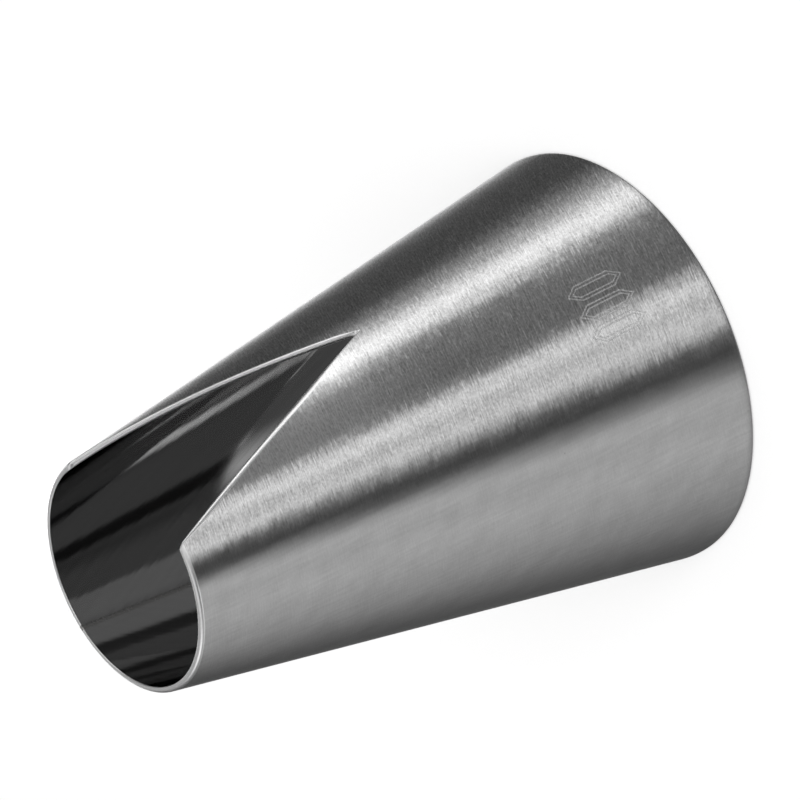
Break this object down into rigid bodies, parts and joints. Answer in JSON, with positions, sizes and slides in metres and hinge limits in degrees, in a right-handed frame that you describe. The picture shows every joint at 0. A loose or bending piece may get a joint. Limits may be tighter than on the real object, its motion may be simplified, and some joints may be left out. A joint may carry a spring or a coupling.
{
  "type": "piping nozzle",
  "caption": "Plain steel cone nozzle for a piping bag, open at both ends, with a long V notch cut out of its narrow mouth to lay wedge-shaped ribbons of cream.",
  "frame": {"origin": "centre of the base rim, on the surface that the nozzle stands on", "axes": "+Z along the cone's axis from the wide base to the narrow mouth; -Y towards the middle of the V notch; +X to the right of someone who faces the notch"},
  "size_m": [0.035, 0.035, 0.05],
  "materials": {
    "brushed_sheet": "stainless sheet, short fine brush marks running round the outside, smoother and darker inside, bright cut edges",
    "weld_bead": "weld bead, ground flush outside, fine ripples and a little heat tint inside"
  },
  "bodies": {
    "root": {"cone_shell": "brushed_sheet", "seam_weld": "weld_bead"}
  },
  "joints": []
}
